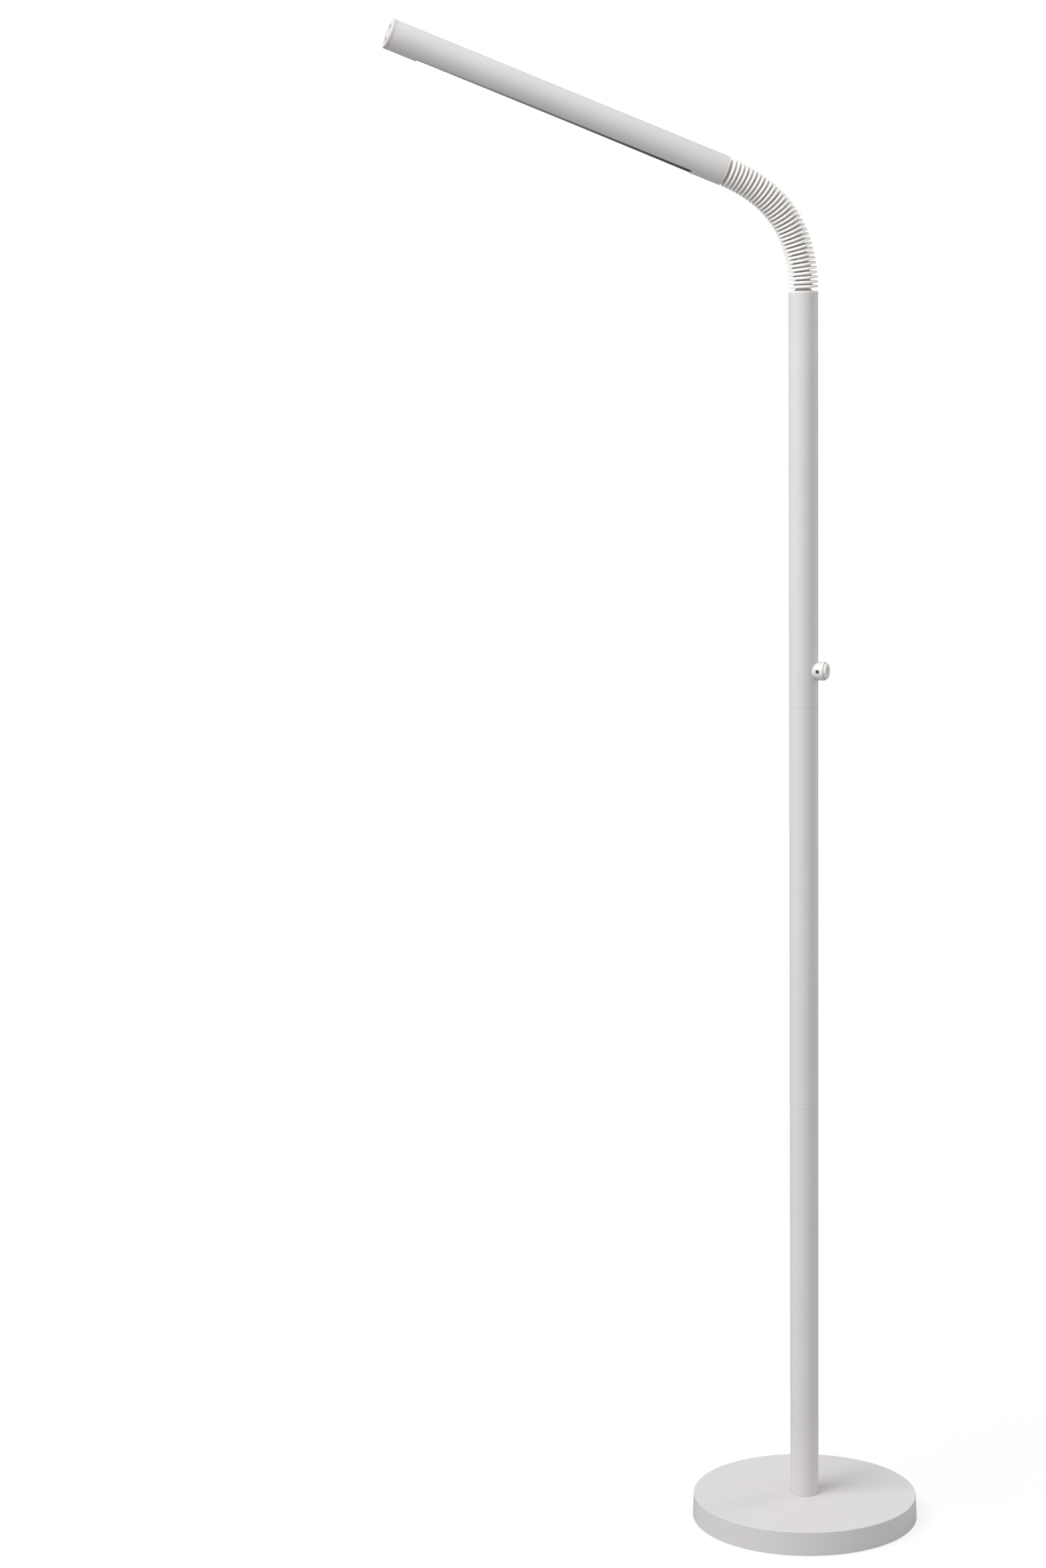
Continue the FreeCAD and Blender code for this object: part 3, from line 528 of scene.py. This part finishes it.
def make_switch_button():
    place = switch_frame()
    skirt, face = span("switch_button", place.to_3x3() @ AXIS_Z)
    low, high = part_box("switch_button")
    radius = (high.z - low.z) / 2
    plunger, ceiling = 2.1 * MM, skirt + 1.5 * MM
    button = turned("switch_button_cap", [
        (0, ceiling, 0), (plunger, ceiling, 0), (plunger, skirt, 0), (radius, skirt, 0.3 * MM),
        (radius, face, 0.9 * MM), (3.7 * MM, face, 0.25 * MM), (3.4 * MM, face - 1.2 * MM, 0.2 * MM),
        (0, face - 1.3 * MM, 0)], place)
    finish_piece(button, "plastic", "button", "switch_button")


# ---- neck ----

BENDS = [j for j in frame["joints"] if j["name"].startswith("neck_")]
CENTRES = [Vector(j["pos_m"]) for j in BENDS]
CHORDS = [high - low for low, high in zip(CENTRES, CENTRES[1:])]
LEANS = [math.atan2(-chord.x, chord.z) for chord in CHORDS]  # each link's lean from upright towards -X
RIB_PITCH = CHORDS[0].length / 2
NECK_START = CENTRES[0].z - RIB_PITCH / 2


def leaning(point, lean):
    """The frame at a point with Z leaning from upright towards -X and X out of the neck's back."""
    return Matrix.Translation(point) @ Matrix.Rotation(-lean, 4, "Y")


CORE_RADIUS = 8.5 * MM
SOCKET_RADIUS = 7.6 * MM
SOCKET_DEPTH = 4.1 * MM
BALL_RADIUS = 7.2 * MM
BALL_HALF = 2.6 * MM
CABLE_BORE = 3.0 * MM
RIB_RADIUS = 14.0 * MM
RIB_TIP = 1.05 * MM
RIB_ROOT = 1.48 * MM
RIB_GAP = RIB_PITCH / 2 - RIB_ROOT  # half the groove between two ribs
SCREW_SEAT = 1.5 * MM  # radius of the holes in the plugs for their grub screws


def rib_outline(low_root, high_root):
    """One rib about its own middle: up the lower flank, round the rim and down the upper flank."""
    foot, flank = CORE_RADIUS + 1.2 * MM, RIB_ROOT * 0.93
    points = [Vector((CORE_RADIUS, -low_root)), Vector((foot, -flank))]
    centre = RIB_RADIUS - RIB_TIP
    for k in range(11):
        angle = math.radians(-85 + 17 * k)
        points.append(Vector((centre + RIB_TIP * math.cos(angle), RIB_TIP * math.sin(angle))))
    points += [Vector((foot, flank)), Vector((CORE_RADIUS, high_root))]
    return points


def ball_outline(from_height):
    """The ball from just above the shoulder that it stands on up to its flat top."""
    start = math.asin(from_height / BALL_RADIUS)
    end = math.asin(BALL_HALF / BALL_RADIUS)
    steps = 8
    return [Vector((BALL_RADIUS * math.cos(start + (end - start) * k / steps),
                    BALL_RADIUS * math.sin(start + (end - start) * k / steps))) for k in range(steps + 1)]


def link_sections(index, lean):
    """A link's frames and outlines, from its socket up over its two ribs to its ball."""
    before, after = LEANS[max(0, index - 1)], LEANS[min(index + 1, len(LEANS) - 1)]
    half_wedge = (after - before) / 8
    low_joint, high_joint = leaning(CENTRES[index], lean), leaning(CENTRES[index + 1], lean)
    low_rib = leaning(low_joint @ Vector((0, 0, 0.5 * RIB_PITCH)), lean - half_wedge)
    high_rib = leaning(low_joint @ Vector((0, 0, 1.5 * RIB_PITCH)), lean + half_wedge)
    half_pitch = RIB_PITCH / 2 - 0.42 * MM
    rim, tuck = CORE_RADIUS - 0.2 * MM, 0.15 * MM
    socket = [Vector((CABLE_BORE, SOCKET_DEPTH)), Vector((SOCKET_RADIUS, SOCKET_DEPTH)),
              Vector((SOCKET_RADIUS, RIB_GAP + 0.2 * MM)), Vector((rim, RIB_GAP + tuck))]
    ball = ball_outline(-RIB_GAP - tuck)
    return [
        (low_joint, socket),
        (low_rib, rib_outline(RIB_ROOT - tuck, half_pitch)),
        (high_rib, rib_outline(half_pitch, RIB_ROOT - tuck)),
        (high_joint, [Vector((rim, -RIB_GAP - tuck))] + ball + [Vector((CABLE_BORE, BALL_HALF))]),
    ]


def make_neck_links():
    for index, lean in enumerate(LEANS):
        rings = [ring(p.x, p.y, place, RIB_ROUND)
                 for place, outline in link_sections(index, lean) for p in outline]
        link = mesh_object(f"neck_ribs_{index + 1:02d}", skin_rings(rings, True), 40)
        body = BENDS[index]["child"]
        finish_piece(link, "plastic", body, body, material=RIB_MATERIAL)


def collar_length():
    return NECK_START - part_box("upper_pole")[1].z


def make_base_plug():
    """The plug in the top of the pole, with its collar and the first ball of the neck."""
    pole_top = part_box("upper_pole")[1]
    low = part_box("neck_base_plug")[0].z
    inner = pole_top.x - 1.25 * MM
    outer, top = inner + 1.15 * MM, pole_top.z + collar_length()
    shoulder = NECK_START + RIB_PITCH / 2 - RIB_GAP - 0.3 * MM
    centre = NECK_START + RIB_PITCH / 2
    outline = rounded([
        (CABLE_BORE, low, 0), (inner, low, 1 * MM), (inner, pole_top.z, 0), (outer, pole_top.z, 0.3 * MM),
        (outer, top, 0.6 * MM), (CORE_RADIUS, top, 0.3 * MM), (CORE_RADIUS, shoulder, 0.3 * MM)], True)
    ball = [Vector((p.x, p.y + centre)) for p in ball_outline(shoulder - centre)]
    profile = outline[:-1] + ball + [Vector((CABLE_BORE, centre + BALL_HALF))]
    rings = [ring(p.x, p.y, Matrix(), ROUND) for p in profile]
    plug = mesh_object("neck_base_plug_body", skin_rings(rings, True))
    place = neck_screw_frame()
    carve(plug, prism("base_screw_cutter", SCREW_SEAT, 6 * MM, 20 * MM, place, FINE))
    finish_piece(plug, "plastic", "stand", "neck_base_plug")
    grub_screw("neck_grub_screw", place, "stand")


def make_head_plug():
    """The plug in the near end of the head, with its collar and the last socket of the neck."""
    place = leaning(CENTRES[-1], HEAD_LEAN)
    end = span("neck_head_plug", place.to_3x3() @ AXIS_Z, place.translation)[1]
    face = RIB_PITCH / 2
    stop = face + collar_length()
    inner = HEAD_RADIUS - 1.5 * MM
    plug = turned("neck_head_plug_body", [
        (CABLE_BORE, SOCKET_DEPTH, 0), (SOCKET_RADIUS, SOCKET_DEPTH, 0), (SOCKET_RADIUS, RIB_GAP, 0.2 * MM),
        (CORE_RADIUS, RIB_GAP, 0.2 * MM), (CORE_RADIUS, face, 0.3 * MM), (HEAD_RADIUS, face, 0.6 * MM),
        (HEAD_RADIUS, stop, 0.3 * MM), (inner, stop, 0), (inner, end, 1 * MM), (CABLE_BORE, end, 0)],
        place, True)
    screw_place = head_screw_frame()
    carve(plug, prism("head_screw_cutter", SCREW_SEAT, 6 * MM, 20 * MM, screw_place, FINE))
    finish_piece(plug, "plastic", "head", "neck_head_plug")
    grub_screw("head_grub_screw", screw_place, "head")


# ---- head: in its frame Z runs outwards along the bar and -X points down, the way the light shines ----


def find_head_lean():
    """The lean at which the head's tube is thinnest from its back to its underside."""

    def depth(lean):
        least, most = span("head_tube", leaning(Vector(), lean).to_3x3() @ AXIS_X)
        return most - least

    low, high = LEANS[-1] - 0.1, LEANS[-1] + 0.2
    for _ in range(40):
        third = (high - low) / 3
        if depth(low + third) < depth(high - third):
            high -= third
        else:
            low += third
    return (low + high) / 2


HEAD_LEAN = find_head_lean()
HEAD_BASE = leaning(CENTRES[-1], HEAD_LEAN)
HEAD_ALONG = HEAD_BASE.to_3x3() @ AXIS_Z
HEAD_BACK = HEAD_BASE.to_3x3() @ AXIS_X
TUBE_START, TUBE_END = span("head_tube", HEAD_ALONG, HEAD_BASE.translation)
HEAD_RADIUS = span("head_tube", AXIS_Y)[1]
HEAD_WALL = 1.4 * MM
WINDOW_PLAY = 0.2 * MM
DIFFUSER_START, DIFFUSER_END = span("diffuser", HEAD_ALONG, HEAD_BASE.translation)
WINDOW_START, WINDOW_END = DIFFUSER_START - WINDOW_PLAY, DIFFUSER_END + WINDOW_PLAY
FLAT = HEAD_RADIUS - 1.9 * MM  # from the bar's middle to the flat round the window
SLOT_HALF = 5.3 * MM


def head_screw_frame():
    low, high = span("head_grub_screw", HEAD_ALONG, HEAD_BASE.translation)
    return axes_frame(HEAD_BASE.translation + HEAD_ALONG * ((low + high) / 2), -HEAD_BACK, AXIS_Y)


def make_head_tube():
    inner = HEAD_RADIUS - HEAD_WALL
    tube = turned("head_tube_shell", [
        (inner, TUBE_START, 0), (HEAD_RADIUS, TUBE_START, 0.3 * MM), (HEAD_RADIUS, TUBE_END, 0.35 * MM),
        (inner, TUBE_END, 0)], HEAD_BASE, True, HEAD_ROUND)
    wide = HEAD_RADIUS * 1.2
    slot_depth = 8 * MM
    flat = box_piece("flat_cutter", (-wide, -wide, WINDOW_START), (-FLAT, wide, WINDOW_END), HEAD_BASE)
    slot = box_piece("slot_cutter", (-wide, -SLOT_HALF, WINDOW_START), (-slot_depth, SLOT_HALF, WINDOW_END),
                     HEAD_BASE)
    hole = prism("head_hole_cutter", SCREW_HOLE, 6 * MM, 20 * MM, head_screw_frame(), FINE)
    carve(tube, flat, slot, hole, sharp=18)
    soften(tube, 0.18 * MM, 2, 50, 18)
    finish_piece(tube, "paint", "head", "head_tube")


def make_diffuser():
    face = -span("diffuser", -HEAD_BACK, HEAD_BASE.translation)[1]
    depth = 1.2 * MM
    half = span("diffuser", AXIS_Y)[1] - 0.6 * MM
    strip = box_piece("diffuser_strip", (face, -half, WINDOW_START + WINDOW_PLAY),
                      (face + depth, half, WINDOW_END - WINDOW_PLAY), HEAD_BASE)
    soften(strip, 0.4 * MM, 3)
    finish_piece(strip, "diffuser", "head", "diffuser")


CAP_SCREW_HEAD = 2.7 * MM
CAP_SCREW_SHANK = 1.4 * MM


def cap_sink(inner, outer, place):
    """The cutter for a screw's clearance hole and countersink."""
    shank, head = CAP_SCREW_SHANK + 0.15 * MM, CAP_SCREW_HEAD + 0.25 * MM
    return turned("sink_cutter", [
        (0, inner - MM, 0), (shank, inner - MM, 0), (shank, outer - 1.5 * MM, 0),
        (head, outer - 0.2 * MM, 0), (head, outer + MM, 0), (0, outer + MM, 0)], place, False, FINE)


def cap_screw(tip, outer, place):
    """A countersunk screw with a cross recess."""
    screw = turned("end_cap_screw", [
        (0, tip, 0), (CAP_SCREW_SHANK, tip, 0.6 * MM), (CAP_SCREW_SHANK, outer - 1.4 * MM, 0),
        (CAP_SCREW_HEAD, outer - 0.25 * MM, 0.2 * MM), (0, outer + 0.05 * MM, 0)], place, False, FINE)
    low, high = (-1.6 * MM, -0.4 * MM, outer - 1.2 * MM), (1.6 * MM, 0.4 * MM, outer + MM)
    blades = [box_piece("blade_cutter", low, high, place @ Matrix.Rotation(math.radians(40 + 90 * k), 4, "Z"))
              for k in (0, 1)]
    return carve(screw, *blades)


def make_end_cap():
    inner, outer = span("head_end_cap", HEAD_ALONG, HEAD_BASE.translation)
    spigot = HEAD_RADIUS - HEAD_WALL - 0.1 * MM
    cap = turned("head_end_cap_disc", [
        (0, inner, 0), (spigot, inner, 0.5 * MM), (spigot, TUBE_END, 0),
        (HEAD_RADIUS, TUBE_END + 0.12 * MM, 0.35 * MM), (HEAD_RADIUS, outer, 0.9 * MM), (0, outer, 0)],
        HEAD_BASE, False, HEAD_ROUND)
    low, high = span("end_cap_screws", HEAD_BACK, HEAD_BASE.translation)
    tip = span("end_cap_screws", HEAD_ALONG, HEAD_BASE.translation)[0]
    sinks, screws = [], []
    for offset in (low + CAP_SCREW_HEAD, high - CAP_SCREW_HEAD):
        place = HEAD_BASE @ Matrix.Translation((offset, 0, 0))
        sinks.append(cap_sink(inner, outer, place))
        screws.append(cap_screw(tip, outer, place))
    carve(cap, *sinks)
    finish_piece(cap, "plastic", "head", "head_end_cap", material=CAP_MATERIAL)
    bm = bmesh.new()
    for screw in screws:
        bm.from_mesh(screw.data)
        bpy.data.objects.remove(screw)
    finish_piece(mesh_object("end_cap_screw_pair", bm), "screw_steel", "head", "end_cap_screws")


# ---- studio ----

LAMP_TURN = math.radians(-16.36)  # the camera's azimuth round the pole
CAMERA_DISTANCE = 3.239
CAMERA_HEIGHT = 1.2225
CAMERA_PITCH = math.radians(-8.673)
CAMERA_YAW = math.radians(-4.725)
CAMERA_ROLL = math.radians(-0.77)
LENS_PER_HEIGHT = 2.192  # focal length over the sensor's longer side
SENSOR = 36  # mm
AMBIENT = 0.56
FLOOR_RADIUS = 60
FLOOR_SHADE = 0.93  # as the camera sees it
FLOOR_BOUNCE = 0.45  # as the lamp is lit by it
FADE_START, FADE_END = 0.15, 0.8  # distances from the pole's foot
FADE_LEAST = 0.8  # share of plain white at the foot


def facing(x, y, z):
    """A point given to the right of, away from and above the pole's foot, as the camera sees it."""
    return Matrix.Rotation(LAMP_TURN, 4, "Z") @ Vector((x, y, z))


def make_camera():
    data = bpy.data.cameras.new("camera")
    camera = bpy.data.objects.new("camera", data)
    bpy.context.scene.collection.objects.link(camera)
    data.sensor_width = SENSOR
    data.lens = SENSOR * LENS_PER_HEIGHT
    data.clip_end = 200
    turn = (Matrix.Rotation(LAMP_TURN - CAMERA_YAW, 4, "Z")
            @ Matrix.Rotation(math.radians(90) + CAMERA_PITCH, 4, "X") @ Matrix.Rotation(CAMERA_ROLL, 4, "Z"))
    camera.matrix_world = Matrix.Translation(facing(0, -CAMERA_DISTANCE, CAMERA_HEIGHT)) @ turn
    bpy.context.scene.camera = camera


def area_light(name, place, target, size, power):
    data = bpy.data.lights.new(name, "AREA")
    data.shape = "RECTANGLE"
    data.size, data.size_y = size
    data.energy = power
    lamp = bpy.data.objects.new(name, data)
    bpy.context.scene.collection.objects.link(lamp)
    lamp.location = place
    lamp.rotation_euler = (target - place).to_track_quat("-Z", "Y").to_euler()


def make_world():
    world = bpy.data.worlds.new("studio")
    bpy.context.scene.world = world
    world.use_nodes = True
    tree = world.node_tree
    ambient = tree.nodes["Background"]
    ambient.inputs["Color"].default_value = (1, 1, 1, 1)
    ambient.inputs["Strength"].default_value = AMBIENT
    seen = tree.nodes.new("ShaderNodeBackground")
    seen.inputs["Color"].default_value = (1, 1, 1, 1)
    path = tree.nodes.new("ShaderNodeLightPath")
    mix = tree.nodes.new("ShaderNodeMixShader")
    tree.links.new(path.outputs["Is Camera Ray"], mix.inputs["Fac"])
    tree.links.new(ambient.outputs["Background"], mix.inputs[1])
    tree.links.new(seen.outputs["Background"], mix.inputs[2])
    tree.links.new(mix.outputs["Shader"], tree.nodes["World Output"].inputs["Surface"])


def make_floor():
    """A wide pale floor that fades into the white of the studio away from the lamp."""
    bm = bmesh.new()
    bmesh.ops.create_circle(bm, cap_ends=True, radius=FLOOR_RADIUS, segments=96)
    floor = mesh_object("studio_floor", bm)
    made = bpy.data.materials.new("studio_floor")
    made.use_nodes = True
    tree = made.node_tree
    tree.nodes.remove(tree.nodes["Principled BSDF"])
    near = tree.nodes.new("ShaderNodeBsdfDiffuse")
    near.inputs["Color"].default_value = (FLOOR_SHADE, FLOOR_SHADE, FLOOR_SHADE, 1)
    far = tree.nodes.new("ShaderNodeEmission")
    place = tree.nodes.new("ShaderNodeTexCoord")
    length = tree.nodes.new("ShaderNodeVectorMath")
    length.operation = "LENGTH"
    reach = tree.nodes.new("ShaderNodeMapRange")
    reach.inputs["From Min"].default_value = FADE_START
    reach.inputs["From Max"].default_value = FADE_END
    reach.inputs["To Min"].default_value = FADE_LEAST
    reach.interpolation_type = "SMOOTHSTEP"
    seen = tree.nodes.new("ShaderNodeMixShader")
    bounce = tree.nodes.new("ShaderNodeBsdfDiffuse")
    bounce.inputs["Color"].default_value = (FLOOR_BOUNCE, FLOOR_BOUNCE, FLOOR_BOUNCE, 1)
    path = tree.nodes.new("ShaderNodeLightPath")
    mix = tree.nodes.new("ShaderNodeMixShader")
    tree.links.new(place.outputs["Object"], length.inputs[0])
    tree.links.new(length.outputs["Value"], reach.inputs["Value"])
    tree.links.new(reach.outputs["Result"], seen.inputs["Fac"])
    tree.links.new(near.outputs["BSDF"], seen.inputs[1])
    tree.links.new(far.outputs["Emission"], seen.inputs[2])
    tree.links.new(path.outputs["Is Camera Ray"], mix.inputs["Fac"])
    tree.links.new(bounce.outputs["BSDF"], mix.inputs[1])
    tree.links.new(seen.outputs["Shader"], mix.inputs[2])
    tree.links.new(mix.outputs["Shader"], tree.nodes["Material Output"].inputs["Surface"])
    floor.data.materials.append(made)


def make_studio():
    make_camera()
    make_world()
    make_floor()
    area_light("key", facing(-2.1, -1.3, 3.3), facing(0, 0, 0.9), (1.9, 1.9), 75)
    area_light("front", facing(-1.15, -2.3, 3.3), facing(0, 0, 0.7), (2.2, 2.2), 46)
    area_light("edge", facing(2.4, 1.2, 0.9), facing(0, 0, 0.8), (0.6, 1.6), 13)
    bpy.context.scene.view_settings.view_transform = "Standard"


dress_cad_nodes()
make_base_cover()
make_grommet()
make_base_pad()
make_pole()
make_switch_housing()
make_switch_button()
make_neck_links()
make_base_plug()
make_head_plug()
make_head_tube()
make_diffuser()
make_end_cap()
make_studio()
